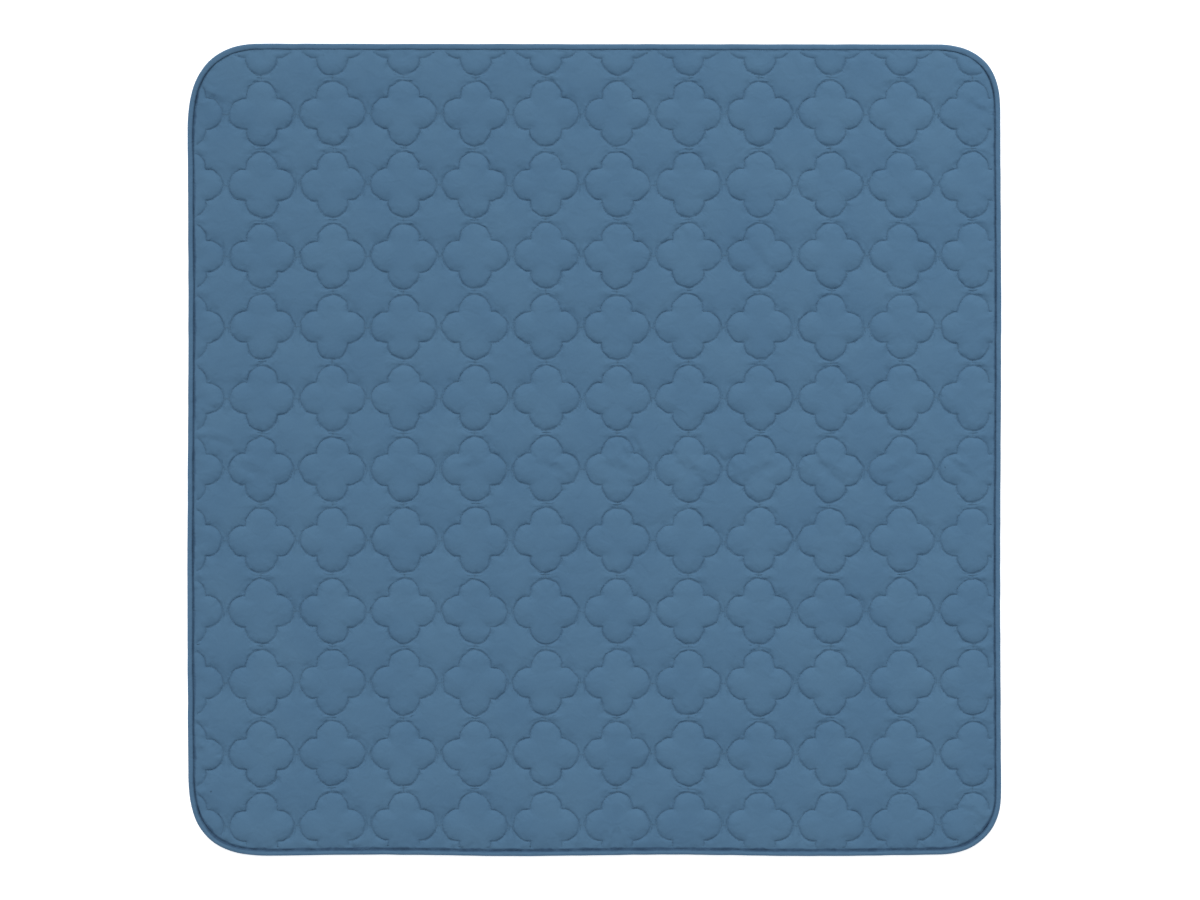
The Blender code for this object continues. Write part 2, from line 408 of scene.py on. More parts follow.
def bar_room(angle, offset, index, near):
    """An offset outside the line, less where the bar leaves little room."""
    room = square_reach(angle) - lobe_reach(angle)
    return min(offset, room * (index + 1) / (len(near) + 2))


def outer_reach(angle, near, share):
    """Part of the way from beside the line to the repeat's border."""
    inside = lobe_reach(angle) + bar_room(angle, near[-1], len(near) - 1, near)
    return inside + (square_reach(angle) - inside) * share


def positions(verts):
    """The places of points or mesh vertices as an array."""
    return np.array([vert.co[:] for vert in verts])


def place(verts, points):
    """Moves vertices to the places in an array."""
    for vert, point in zip(verts, points.tolist()):
        vert.co = point


def as_data(mesh, name):
    """A bmesh as mesh data, from which copies are made."""
    data = bpy.data.meshes.new(name)
    mesh.to_mesh(data)
    mesh.free()
    return data


def add_copy(mesh, unit):
    """Adds a copy of mesh data to a bmesh, and gives the points of the copy."""
    first = len(mesh.verts)
    mesh.from_mesh(unit)
    mesh.verts.ensure_lookup_table()
    return mesh.verts[first:]


def noise_at(points, size, seed):
    """Smooth noise from -1 to 1 whose humps are about this size, at each point."""
    shift = Vector([seed * step for step in SEED_STEPS])
    return np.array([noise.noise(Vector(point) / size + shift) for point in points.tolist()]) * NOISE_GAIN


def grow_row(mesh, edges):
    """Extrudes a row of edges, and gives the new row's points and edges."""
    grown = bmesh.ops.extrude_edge_only(mesh, edges=edges)["geom"]
    verts = [item for item in grown if isinstance(item, bmesh.types.BMVert)]
    row = set(verts)
    lines = [item for item in grown if isinstance(item, bmesh.types.BMEdge)]
    return verts, [edge for edge in lines if row.issuperset(edge.verts)]


def grow_ring(mesh, edges, reach):
    """Extrudes a ring of edges about the origin, each new point at its direction's reach."""
    verts, ring = grow_row(mesh, edges)
    for vert in verts:
        vert.co = vert.co.normalized() * reach(math.atan2(vert.co.y, vert.co.x))
    return ring


def thin_ring(mesh, edges, steps):
    """Takes out every second point of a ring, and gives the ring's edges that are left."""
    verts = {vert for edge in edges for vert in edge.verts}
    odd = [vert for vert in verts if round(math.atan2(vert.co.y, vert.co.x) / math.tau * steps) % 2]
    kept = verts.difference(odd)
    bmesh.ops.dissolve_verts(mesh, verts=odd)
    return list({edge for vert in kept for edge in vert.link_edges if kept.issuperset(edge.verts)})


def tile(steps, near, shares):
    """One repeat of the quilted cloth as a flat mesh: rings of points that follow the stitch
    line closely beside it and spread out towards the middles of the puffs, where a cloth of
    several such rings has fewer points."""
    mesh = bmesh.new()
    thinned = len(shares) > 1
    circle = bmesh.ops.create_circle(mesh, segments=steps, radius=1)["verts"]
    for vert in circle:
        angle = math.atan2(vert.co.y, vert.co.x)
        vert.co = vert.co.normalized() * lobe_reach(angle)
    line = list(mesh.edges)
    ring = line
    for offset in near:
        ring = grow_ring(mesh, ring, lambda angle: lobe_reach(angle) - offset)
    for index, share in enumerate(shares):
        ring = grow_ring(mesh, ring, lambda angle: inner_reach(angle, near[-1], share))
        if index == 0 and thinned:
            ring = thin_ring(mesh, ring, steps)
    if thinned:
        ring = thin_ring(mesh, ring, steps / 2)
    middle = bmesh.ops.contextual_create(mesh, geom=ring)["faces"]
    bmesh.ops.poke(mesh, faces=middle)
    ring = line
    for index, offset in enumerate(near):
        ring = grow_ring(mesh, ring, lambda angle: lobe_reach(angle) + bar_room(angle, offset, index, near))
    for index, share in enumerate(shares):
        ring = grow_ring(mesh, ring, lambda angle: outer_reach(angle, near, share))
        if index == 0 and thinned:
            ring = thin_ring(mesh, ring, steps)
    bmesh.ops.triangulate(mesh, faces=mesh.faces)
    return as_data(mesh, "tile")


def side_by_side(unit, shifts):
    """Copies of a mesh, one moved by each shift."""
    mesh = bmesh.new()
    for shift in shifts:
        bmesh.ops.translate(mesh, verts=add_copy(mesh, unit), vec=shift)
    return mesh


def over_blanket(unit):
    """The repeat laid over the whole blanket: one row of it, and then row beside row."""
    count = math.ceil(SIZE_X / PITCH / 2) + 1
    steps = [step * PITCH for step in range(-count, count + 1)]
    columns = [TRELLIS_SHIFT[0] + step for step in steps]
    rows = [TRELLIS_SHIFT[1] + step for step in steps]
    row = side_by_side(unit, [(x, 0, 0) for x in columns if abs(x) - SIZE_X / 2 < HALF])
    data = as_data(row, "row")
    return side_by_side(data, [(0, y, 0) for y in rows if abs(y) - SIZE_Y / 2 < HALF])


def trim(mesh, near, start, end):
    """Cuts off what lies to the right of a line, and gives what is left."""
    along = (end - start).normalized()
    outward = Vector((along.y, -along.x, 0))
    return bmesh.ops.bisect_plane(mesh, geom=near, plane_co=start, plane_no=outward,
                                  clear_outer=True, dist=TINY)["geom"]


def cut_to_outline(mesh, inset):
    """Trims the cloth along each side, and then each corner along its rounding."""
    ring = outline(inset)
    size = CORNER_STEPS + 1
    arcs = [ring[first:first + size] for first in range(0, len(ring), size)]
    for arc, following in zip(arcs, arcs[1:] + arcs[:1]):
        everything = list(mesh.verts) + list(mesh.edges) + list(mesh.faces)
        trim(mesh, everything, arc[-1], following[0])
    for arc in arcs:
        middle = (arc[0] + arc[-1]) / 2
        reach = (arc[0] - arc[-1]).length / 2 + PITCH / 4
        faces = [face for face in mesh.faces if (face.verts[0].co - middle).length < reach]
        near = list({item for face in faces for item in (face, *face.edges, *face.verts)})
        for start, end in zip(arc, arc[1:]):
            near = trim(mesh, near, start, end)


def tiled_cloth(unit, inset):
    """The repeat laid side by side over the whole blanket and cut to its outline."""
    mesh = over_blanket(unit)
    bmesh.ops.remove_doubles(mesh, verts=mesh.verts, dist=TILE_MERGE)
    cut_to_outline(mesh, inset)
    return mesh


def front_cloth():
    """The quilt's upper cloth before it is sewn: flat, cut to size, with rows along the seam."""
    mesh = tiled_cloth(tile(FACE_STEPS, NEAR_LINE, FACE_SHARES), SEAM_ROWS[0])
    cut = [vert for vert in mesh.verts if vert.is_boundary]
    bmesh.ops.remove_doubles(mesh, verts=cut, dist=CUT_SPACING)
    edges = [edge for edge in mesh.edges if edge.is_boundary]
    for start, end in zip(SEAM_ROWS, SEAM_ROWS[1:]):
        verts, edges = grow_row(mesh, edges)
        points = positions(verts)
        points[:, :2] += seam_outward(points) * (start - end)
        place(verts, points)
    bmesh.ops.triangulate(mesh, faces=mesh.faces)
    mesh.verts.index_update()
    return mesh


def puff_share(distance):
    """How much of its full height the quilt has at this distance from the stitches."""
    return np.sin(np.clip(distance / RISE_RUN, 0, 1) * math.pi / 2)


def sewn_cloth(mesh):
    """Raises the cloth between its stitch lines, as the wadding under it does. Each point keeps
    its flat place as well."""
    flat = positions(mesh.verts)
    seam = np.clip(seam_distance(flat, SEAM_INSET), 0, None)
    line = line_distance(flat)
    nearest = np.minimum(line, seam)
    crown = CROWN_RISE * (1 + CROWN_SPREAD * noise_at(flat, CROWN_SPREAD_SIZE, seed=8))
    rise = crown * puff_share(nearest)
    points = flat.copy()
    points[:, 2] = LINE_HEIGHT + rise
    points = puckered(mesh, flat, points, rise, line, nearest)
    place(mesh.verts, points)
    flat_place = mesh.verts.layers.float_vector.new("flat_place")
    for vert, point in zip(mesh.verts, flat.tolist()):
        vert[flat_place] = point


def puckered(mesh, flat, points, rise, line, nearest):
    """The raised cloth after a short simulation. The cloth is a little fuller than the sewn area,
    so it puckers. The result is blended with the plain puffs and smoothed in their middles."""
    even = points[:, 2].copy()
    points[:, 2] -= rise * (1 - SIM_START)
    random = np.random.default_rng(seed=7)
    points[:, 2] += random.normal(0, SIM_JITTER, len(points)) * (nearest > SIM_JITTER_FROM)
    points = blown_up(mesh, points, nearest < SEWN_WITHIN)
    from_bar = bar_distance(flat)
    moved = np.clip(points[:, :2] - flat[:, :2], -SIM_SHIFT, SIM_SHIFT)
    points[:, :2] = flat[:, :2] + moved * np.clip(from_bar / BAR_CALM, 0, 1)[:, None]
    high = LINE_HEIGHT + CROWN_RISE
    points[:, 2] = np.clip(points[:, 2], LINE_HEIGHT, None)
    over = np.clip(points[:, 2] - high, 0, None)
    points[:, 2] = np.minimum(points[:, 2], high) + HIGH_SOFTNESS * (1 - np.exp(-over / HIGH_SOFTNESS))
    points[:, 2] = even + (points[:, 2] - even) * SIM_SHARE
    place(mesh.verts, points)
    in_middle = (from_bar > MIDDLE_FROM_BAR) & (line >= MIDDLE_FROM_LINE)
    middles = [vert for vert, free in zip(mesh.verts, in_middle) if free]
    for pass_number in range(MIDDLE_PASSES):
        bmesh.ops.smooth_vert(mesh, verts=middles, factor=0.5,
                              use_axis_x=True, use_axis_y=True, use_axis_z=True)
    return positions(mesh.verts)


def blown_up(mesh, points, sewn):
    """The cloth's points after a short cloth simulation with the sewn ones held."""
    place(mesh.verts, points)
    data = bpy.data.meshes.new("blown_up")
    mesh.to_mesh(data)
    piece = bpy.data.objects.new("blown_up", data)
    bpy.context.scene.collection.objects.link(piece)
    piece.vertex_groups.new(name="sewn").add(np.nonzero(sewn)[0].tolist(), 1.0, "REPLACE")
    cloth = piece.modifiers.new("cloth", "CLOTH")
    cloth.settings.vertex_group_mass = "sewn"
    cloth.settings.mass = SIM_MASS
    cloth.settings.quality = SIM_QUALITY
    cloth.settings.tension_stiffness = SIM_STRETCH
    cloth.settings.compression_stiffness = SIM_STRETCH
    cloth.settings.shear_stiffness = SIM_SHEAR
    cloth.settings.bending_stiffness = SIM_BENDING
    cloth.settings.air_damping = 1
    cloth.settings.use_pressure = True
    cloth.settings.uniform_pressure_force = SIM_PRESSURE
    cloth.settings.shrink_min = -SIM_FULLNESS
    cloth.settings.effector_weights.gravity = 0
    cloth.collision_settings.use_collision = False
    cloth.collision_settings.use_self_collision = False
    cloth.point_cache.frame_end = SIM_FRAMES
    for step in range(1, SIM_FRAMES + 1):
        bpy.context.scene.frame_set(step)
    graph = bpy.context.evaluated_depsgraph_get()
    done = piece.evaluated_get(graph).to_mesh()
    result = np.zeros(len(points) * 3, np.float32)
    done.vertices.foreach_get("co", result)
    bpy.context.scene.frame_set(1)
    bpy.data.objects.remove(piece)
    return result.reshape(-1, 3).astype(float)


def flat_places(mesh):
    """Where each point of the upper cloth lay before it was sewn."""
    flat_place = mesh.verts.layers.float_vector["flat_place"]
    return np.array([vert[flat_place][:] for vert in mesh.verts])


def wander(points):
    """Moves the inside of the quilt a little sideways, as quilting never lies quite true."""
    flat = points * (1, 1, 0)
    inside = np.clip(seam_distance(flat, SEAM_INSET) / WANDER_RUN, 0, 1)
    for axis in (0, 1):
        wide = noise_at(flat, WIDE_WANDER_SIZE, seed=11 + axis) * WIDE_WANDER
        fine = noise_at(flat, FINE_WANDER_SIZE, seed=21 + axis) * FINE_WANDER
        points[:, axis] += (wide + fine) * inside


def crease_frame(crease, points):
    """How far points are along and across a crease, in shares of its half length and width."""
    start = np.array(crease[0:2]) / 1000
    end = np.array(crease[2:4]) / 1000
    width = crease[5] / 1000
    length = np.hypot(*(end - start))
    along = (end - start) / length
    offset = points[:, :2] - (start + end) / 2
    return (offset @ along) / (length / 2), (offset @ (-along[1], along[0])) / width


def refine_at_creases(mesh):
    """Splits the longer edges close to each crease, so that the cloth can bend there."""
    for pass_number in range(2):
        flat = flat_places(mesh)
        close = np.zeros(len(flat), bool)
        for crease in CREASES:
            share, across = crease_frame(crease, flat)
            close |= (np.abs(share) < REFINED_ALONG) & (np.abs(across) < REFINED_ACROSS)
        mesh.verts.index_update()
        edges = []
        for edge in mesh.edges:
            start, end = edge.verts
            if (close[start.index] or close[end.index]) and edge.calc_length() > REFINED_LENGTH:
                edges.append(edge)
        bmesh.ops.subdivide_edges(mesh, edges=edges, cuts=1, use_only_quads=False)
        split = [face for face in mesh.faces if len(face.verts) > 3]
        bmesh.ops.triangulate(mesh, faces=split, quad_method="SHORT_EDGE", ngon_method="EAR_CLIP")


def creases(points):
    """The height that soft creases and the old fold across the middle add to the cloth."""
    height = np.zeros(len(points))
    for crease in CREASES:
        share, across = crease_frame(crease, points)
        fade = np.clip(1 - share ** 2, 0, 1)
        dip = np.exp(-across ** 2) - RIDGE_SHARE * np.exp(-((across - RIDGE_AT) / RIDGE_WIDTH) ** 2)
        height -= crease[4] / CREASE_DIVISOR * fade * dip
    x = points[:, 0]
    y = points[:, 1]
    fold = np.exp(-((y - FOLD_Y) / FOLD_WIDTH) ** 2) * (FOLD_SHARE + x / SIZE_X)
    turned_x = x * FOLD_SLANT[0] + y * FOLD_SLANT[1]
    turned_y = (y * FOLD_SLANT[0] - x * FOLD_SLANT[1]) * FOLD_STRETCH
    turned = np.stack([turned_x, turned_y, np.zeros(len(points))], axis=1)
    ridges = 1 - 2 * np.abs(noise_at(turned, FOLD_RIDGE_SIZE, seed=9))
    return height + ridges * fold * FOLD_RISE


def groove_depth(feet):
    """How deep the stitches lie in the cloth, by the nearest point of their line."""
    return GROOVE_DEPTH * (1 + GROOVE_SPREAD * noise_at(feet, GROOVE_SPREAD_SIZE, seed=3))


def seam_shade_and_gather_shift(points):
    """How much narrower the painted shade in the ditch along the seam is at the back edge, towards the
    light. At the front edge, away from the light, the painted shade is wider, so this is less than nothing.
    On the binding it moves the gathers as well."""
    facing_back = seam_outward(points)[:, 1]
    back = np.clip((facing_back - FACING_FROM) / FACING_RUN, 0, 1)
    front = np.clip((-facing_back - FACING_FROM) / FACING_RUN, 0, 1)
    return back * BACK_SEAM_SHADE_NARROWING - front * FRONT_SEAM_SHADE_WIDENING


def gathers(distance):
    """How gathered the cloth is at this distance from the thread that draws it in."""
    share = np.clip(1 - distance / PLEAT_REACH, 0, 1)
    return share ** 2 * (3 - 2 * share)


def foot_calm(mesh, flat, feet):
    """Nothing at points whose nearest place on the stitches leaps from one line to another,
    where gathers would clash, rising to one beside them."""
    mesh.verts.index_update()
    pairs = np.array([[vert.index for vert in edge.verts] for edge in mesh.edges])
    lengths = np.linalg.norm(flat[pairs[:, 0]] - flat[pairs[:, 1]], axis=1)
    leaps = np.linalg.norm(feet[pairs[:, 0]] - feet[pairs[:, 1]], axis=1) > 2 * lengths + FOOT_LEAP
    calm = np.ones(len(flat))
    calm[pairs[leaps].ravel()] = 0
    around = np.zeros(len(flat))
    count = np.zeros(len(flat))
    for start, end in ((0, 1), (1, 0)):
        np.add.at(around, pairs[:, start], calm[pairs[:, end]])
        np.add.at(count, pairs[:, start], 1)
    return calm * around / count


def keep_distances(mesh, from_line, from_edge, feet, gathered):
    """Keeps on each point what the cloth's material reads: how far it is from the stitch lines
    and from the binding's seam, the nearest point of either, and how gathered the cloth is."""
    numbers = {"from_stitch": from_line, "from_seam": from_edge, "gathers": gathered}
    for name, values in numbers.items():
        layer = mesh.verts.layers.float.new(name)
        for vert, value in zip(mesh.verts, values.tolist()):
            vert[layer] = value
    layer = mesh.verts.layers.float_vector.new("stitch_foot")
    for vert, foot in zip(mesh.verts, feet.tolist()):
        vert[layer] = foot


def quilt_face():
    """The quilt's upper cloth, puffed, creased and puckered, with its stitched grooves."""
    mesh = front_cloth()
    sewn_cloth(mesh)
    refine_at_creases(mesh)
    flat = flat_places(mesh)
    points = positions(mesh.verts)
    line = line_distance(flat)
    seam = np.clip(seam_distance(flat, SEAM_INSET), 0, None)
    nearest = np.minimum(line, seam)
    points[:, 2] += creases(flat) * np.clip(nearest / CREASE_CLEAR, 0, 1)
    edge_foot = flat.copy()
    edge_foot[:, :2] += seam_outward(flat) * seam[:, None]
    feet = np.where((line < seam)[:, None], line_foot(flat), edge_foot)
    calm = foot_calm(mesh, flat, feet)
    pucker = noise_at(feet, PUCKER_SIZE, seed=1) * np.exp(-nearest / PUCKER_REACH) * calm
    points[:, 2] += pucker * PUCKER_RISE * (1 - np.exp(-nearest / PUCKER_CLEAR)) * (seam > 0)
    points[:, 2] -= groove_depth(feet) * np.exp(-(nearest / GROOVE_WIDTH) ** 2) * (seam > 0)
    place(mesh.verts, points)
    # The seam distance kept for the material is shifted, so that the painted shade in the seam's ditch is
    # narrower at the back edge and wider at the front edge
    keep_distances(mesh, line, seam + seam_shade_and_gather_shift(flat), feet, calm * gathers(nearest))
    return mesh


def quilt_back():
    """The quilt's flatter underside, with shallow channels under the stitch lines."""
    mesh = tiled_cloth(tile(BACK_STEPS, NEAR_BACK_LINE, BACK_SHARES), SEAM_INSET)
    points = positions(mesh.verts)
    line = line_distance(points)
    seam = np.clip(seam_distance(points, SEAM_INSET), 0, None)
    keep_distances(mesh, line, seam, line_foot(points), np.zeros(len(points)))
    points[:, 2] = BACK_CHANNEL * np.exp(-(np.minimum(line, seam) / BACK_CHANNEL_WIDTH) ** 2)
    place(mesh.verts, points)
    bmesh.ops.reverse_faces(mesh, faces=mesh.faces)
    return as_data(mesh, "back")


def quilted_panel():
    """The quilt as one closed solid: its upper cloth, the thin tongue that the binding holds,
    and its underside."""
    mesh = quilt_face()
    edges = [edge for edge in mesh.edges if edge.is_boundary]
    verts, edges = grow_row(mesh, edges)
    for vert in verts:
        vert.co.z = TONGUE_UNDER
    mesh.from_mesh(quilt_back())
    open_edges = [edge for edge in mesh.edges if edge.is_boundary]
    bmesh.ops.triangle_fill(mesh, edges=open_edges, use_beauty=True, use_dissolve=False, normal=(0, 0, -1))
    flat_map(mesh)
    points = positions(mesh.verts)
    wander(points)
    uneven(points)
    place(mesh.verts, points)
    return mesh


def fine_outline(inset):
    """The outline with points about as close together along its straight sides as the binding
    needs, however far inside the edge it lies."""
    corners = outline(inset)
    edge = outline(0)
    points = []
    for index, start in enumerate(corners):
        end = corners[(index + 1) % len(corners)]
        full = edge[(index + 1) % len(edge)] - edge[index]
        count = max(1, round(full.length / BINDING_SPACING))
        points += [start.lerp(end, step / count) for step in range(count)]
    return points


def folded_strip():
    """The binding before it is sewn on: its section extruded row by row round the outline, and
    closed on itself."""
    rows = [fine_outline(inset / 1000) for inset, height in BINDING_SECTION]
    mesh = bmesh.new()
    step = mesh.verts.layers.int.new("step")
    level = mesh.verts.layers.int.new("level")
    first = [mesh.verts.new(point + Vector((0, 0, BINDING_SECTION[0][1] / 1000))) for point in rows[0]]
    for index, vert in enumerate(first):
        vert[step] = index
    edges = [mesh.edges.new((start, end)) for start, end in zip(first, first[1:] + first[:1])]
    for row in list(range(1, len(rows))) + [0]:
        verts, edges = grow_row(mesh, edges)
        for vert in verts:
            vert.co = rows[row][vert[step]] + Vector((0, 0, BINDING_SECTION[row][1] / 1000))
            vert[level] = row
    bmesh.ops.remove_doubles(mesh, verts=mesh.verts, dist=BINDING_MERGE)
    bmesh.ops.recalc_face_normals(mesh, faces=mesh.faces)
    strip_map(mesh, len(first))
    return mesh


def edge_binding():
    """The folded strip round the quilt's edge, with the slight unevenness of sewn cloth."""
    mesh = folded_strip()
    points = positions(mesh.verts)
    inset = seam_distance(points, 0)
    outward = seam_outward(points)
    flat = points * (1, 1, 0)
    high = np.clip(points[:, 2] / BINDING_HEIGHT, 0, 1)
    drift = noise_at(flat, BINDING_DRIFT_SIZE, seed=5) * BINDING_DRIFT * high
    points[:, :2] += outward * drift[:, None]
    points[:, 2] += noise_at(flat, BINDING_PUCKER_SIZE, seed=6) * BINDING_PUCKER * high ** 2
    inner = np.clip((inset - INNER_EDGE_FROM) / INNER_EDGE_RUN, 0, 1) * (high > INNER_EDGE_ABOVE)
    wobble = noise_at(flat, BINDING_WOBBLE_SIZE, seed=7) * BINDING_WOBBLE * inner
    points[:, :2] += outward * wobble[:, None]
    # The shift moves the painted shade of the seam's ditch on the binding, and its gathers with it
    from_seam = np.clip(BINDING_WIDTH - inset, 0, None) + seam_shade_and_gather_shift(flat)
    keep_distances(mesh, np.ones(len(flat)), from_seam, flat, gathers(from_seam))
    uneven(points)
    place(mesh.verts, points)
    return mesh


def strip_map(mesh, steps):
    """Maps the binding's cloth in metres along and across the strip, so that the weave turns
    with it at the corners."""
    cloth = mesh.loops.layers.uv.new("cloth")
    step = mesh.verts.layers.int["step"]
    level = mesh.verts.layers.int["level"]
    section = [Vector(point) / 1000 for point in BINDING_SECTION]
    across = [0.0]
    for start, end in zip(section, section[1:] + section[:1]):
        across.append(across[-1] + (end - start).length)
    for face in mesh.faces:
        round_end = max(vert[step] for vert in face.verts) - min(vert[step] for vert in face.verts) > 1
        fold_end = max(vert[level] for vert in face.verts) - min(vert[level] for vert in face.verts) > 1
        for loop in face.loops:
            along = steps if round_end and loop.vert[step] == 0 else loop.vert[step]
            row = len(section) if fold_end and loop.vert[level] == 0 else loop.vert[level]
            loop[cloth].uv = (along * BINDING_SPACING, across[row])


def flat_map(mesh):
    """Maps a piece's cloth in metres as it lies, seen from above."""
    cloth = mesh.loops.layers.uv.new("cloth")
    for face in mesh.faces:
        for loop in face.loops:
            loop[cloth].uv = loop.vert.co.xy


def one_stitch():
    """A single stitch: a short thread, rounded off where it dives into the cloth."""
    mesh = bmesh.new()
    bmesh.ops.create_icosphere(mesh, subdivisions=1, radius=1)
    bmesh.ops.scale(mesh, verts=mesh.verts, vec=(STITCH_LENGTH / 2, THREAD_WIDTH / 2, THREAD_WIDTH / 2))
    return as_data(mesh, "one_stitch")


def lay_stitch(mesh, unit, middle, angle):
    """Adds a stitch to the mesh at a point, turned to run along its line."""
    verts = add_copy(mesh, unit)
    bmesh.ops.rotate(mesh, verts=verts, matrix=Matrix.Rotation(angle, 3, "Z"))
    bmesh.ops.translate(mesh, verts=verts, vec=middle)


def tile_stitches(unit):
    """The stitches of one repeat: round the four lobes, and along its half of each bar."""
    mesh = bmesh.new()
    span = math.atan2(CUSP, CUSP - LOBE_OFFSET)
    for lobe in range(4):
        turn = lobe * math.pi / 2
        centre = Vector((math.cos(turn), math.sin(turn), 0)) * LOBE_OFFSET
        for index in range(LOBE_STITCHES):
            angle = turn + span * (2 * (index + 0.5) / LOBE_STITCHES - 1)
            middle = centre + Vector((math.cos(angle), math.sin(angle), 0)) * LOBE_RADIUS
            lay_stitch(mesh, unit, middle, angle + math.pi / 2)
        bar = Vector((math.cos(turn), math.sin(turn), 0)) * (TIP + HALF) / 2
        lay_stitch(mesh, unit, bar, turn)
    return as_data(mesh, "tile_stitches")


def stitching():
    """All the stitches of the trellis, lying in the grooves of the quilt."""
    unit = one_stitch()
    mesh = over_blanket(tile_stitches(unit))
    points = positions(mesh.verts)
    size = len(unit.vertices)
    middles = points.reshape(-1, size, 3).mean(axis=1)
    outside = np.repeat(seam_distance(middles, SEAM_INSET) < STITCH_LENGTH / 2, size)
    bmesh.ops.delete(mesh, geom=[vert for vert, cut in zip(mesh.verts, outside) if cut], context="VERTS")
    points = points[~outside]
    feet = np.repeat(line_foot(middles), size, axis=0)[~outside]
    points[:, 2] += LINE_HEIGHT - groove_depth(feet) + THREAD_WIDTH * THREAD_STAND
    wander(points)
    uneven(points)
    place(mesh.verts, points)
    return mesh


def linear(colour):
    """An sRGB hex colour as the linear colour that the shader takes."""
    parts = [int(colour[index:index + 2], 16) / 255 for index in (1, 3, 5)]
    return [part / 12.92 if part <= 0.04045 else ((part + 0.055) / 1.055) ** 2.4 for part in parts] + [1]


def add_node(tree, kind, settings=None, sockets=None, links=None):
    """Adds a node with its settings, its sockets' values and its links from other sockets."""
    node = tree.nodes.new(kind)
    for name, value in (settings or {}).items():
        setattr(node, name, value)
    for name, value in (sockets or {}).items():
        node.inputs[name].default_value = value
    for name, socket in (links or {}).items():
        tree.links.new(socket, node.inputs[name])
    return node


def new_tree(name):
    """A new material and its empty node tree."""
    material = bpy.data.materials.new(name)
    material.use_nodes = True
    material.node_tree.nodes.clear()
    return material, material.node_tree


def band_scale(spacing):
    """The scale at which a Wave texture's bands are this far apart."""
    return math.tau / 20 / spacing


def dyed_colour(tree, cloth, slub, base, worn):
    """The cloth's colour, which varies a little with the dye and with thicker threads."""
    mottle = add_node(tree, "ShaderNodeTexNoise", sockets={"Scale": 1 / DYE_SIZE, "Detail": 3.0},
                      links={"Vector": cloth})
    both = add_node(tree, "ShaderNodeMath", {"operation": "MULTIPLY_ADD"}, {1: SLUB_TONE},
                    {0: slub, 2: mottle.outputs["Fac"]})
    spread = add_node(tree, "ShaderNodeMapRange", sockets={"From Min": 0.45, "From Max": 0.90},
                      links={"Value": both.outputs[0]})
    dyed = add_node(tree, "ShaderNodeMix", {"data_type": "RGBA"}, {"A": linear(base), "B": linear(worn)},
                    {"Factor": spread.outputs["Result"]})
    return dyed.outputs["Result"]


def sewn_painted_shade(tree, foot, colour, groove, ditch):
    """The colour darkened with painted shade in the stitched grooves, stronger in some stretches than in
    others, and with painted shade in the ditch beside the binding, where it is never quite gone."""
    weight = add_node(tree, "ShaderNodeTexNoise", sockets={"Scale": 1 / SHADE_VARIATION_SIZE, "Detail": 2.0},
                      links={"Vector": foot})
    for sewn, reach, least, deep in (("from_stitch", GROOVE_SHADE_TO, 0.0, groove),
                                     ("from_seam", SEAM_SHADE_TO, 0.7, ditch)):
        distance = add_node(tree, "ShaderNodeAttribute", {"attribute_name": sewn})
        depth = add_node(tree, "ShaderNodeMapRange", {"interpolation_type": "SMOOTHSTEP"},
                         {"From Min": reach, "From Max": 0.0}, {"Value": distance.outputs["Fac"]})
        shade_strength = add_node(tree, "ShaderNodeMapRange",
                        sockets={"From Min": 0.36, "From Max": 0.62, "To Min": least},
                        links={"Value": weight.outputs["Fac"]})
        shaded = add_node(tree, "ShaderNodeMath", {"operation": "MULTIPLY"},
                          links={0: depth.outputs["Result"], 1: shade_strength.outputs["Result"]})
        mixed = add_node(tree, "ShaderNodeMix", {"data_type": "RGBA"}, {"B": linear(deep)},
                         {"Factor": shaded.outputs[0], "A": colour})
        colour = mixed.outputs["Result"]
    return colour


def soft_folds(tree, cloth, foot):
    """The relief of soft wrinkles, and of the small gathers that run out from the stitches."""
    pleats = add_node(tree, "ShaderNodeTexNoise", sockets={"Scale": 1 / PLEAT_SIZE, "Detail": 1.0},
                      links={"Vector": foot})
    beside = add_node(tree, "ShaderNodeAttribute", {"attribute_name": "gathers"})
    gathered = add_node(tree, "ShaderNodeMath", {"operation": "MULTIPLY"},
                        links={0: pleats.outputs["Fac"], 1: beside.outputs["Fac"]})
    wrinkle = add_node(tree, "ShaderNodeTexNoise",
                       sockets={"Scale": 1 / WRINKLE_SIZE, "Detail": 2.5, "Distortion": 0.6},
                       links={"Vector": cloth})
    folds = add_node(tree, "ShaderNodeMath", {"operation": "MULTIPLY_ADD"}, {1: WRINKLE_RISE},
                     {0: wrinkle.outputs["Fac"], 2: gathered.outputs[0]})
    return add_node(tree, "ShaderNodeBump", sockets={"Strength": 0.6, "Distance": PLEAT_RISE},
                    links={"Height": folds.outputs[0]})


def plain_weave(tree, cloth, slub, under):
    """The relief of the weave: threads over and under by turns, some thicker, on the folds."""
    threads = []
    for direction in ("X", "Y"):
        wave = add_node(tree, "ShaderNodeTexWave", {"bands_direction": direction},
                        {"Scale": band_scale(THREAD_SPACING * 2), "Distortion": 0.0}, {"Vector": cloth})
        centred = add_node(tree, "ShaderNodeMath", {"operation": "SUBTRACT"}, {1: 0.5},
                           {0: wave.outputs["Fac"]})
        threads.append(centred.outputs[0])
    weave = add_node(tree, "ShaderNodeMath", {"operation": "MULTIPLY"}, links={0: threads[0], 1: threads[1]})
    rough = add_node(tree, "ShaderNodeMath", {"operation": "MULTIPLY_ADD"}, {1: SLUB_RISE},
                     {0: slub, 2: weave.outputs[0]})
    return add_node(tree, "ShaderNodeBump", sockets={"Strength": 0.35, "Distance": THREAD_SPACING * 0.4},
                    links={"Height": rough.outputs[0], "Normal": under.outputs["Normal"]})


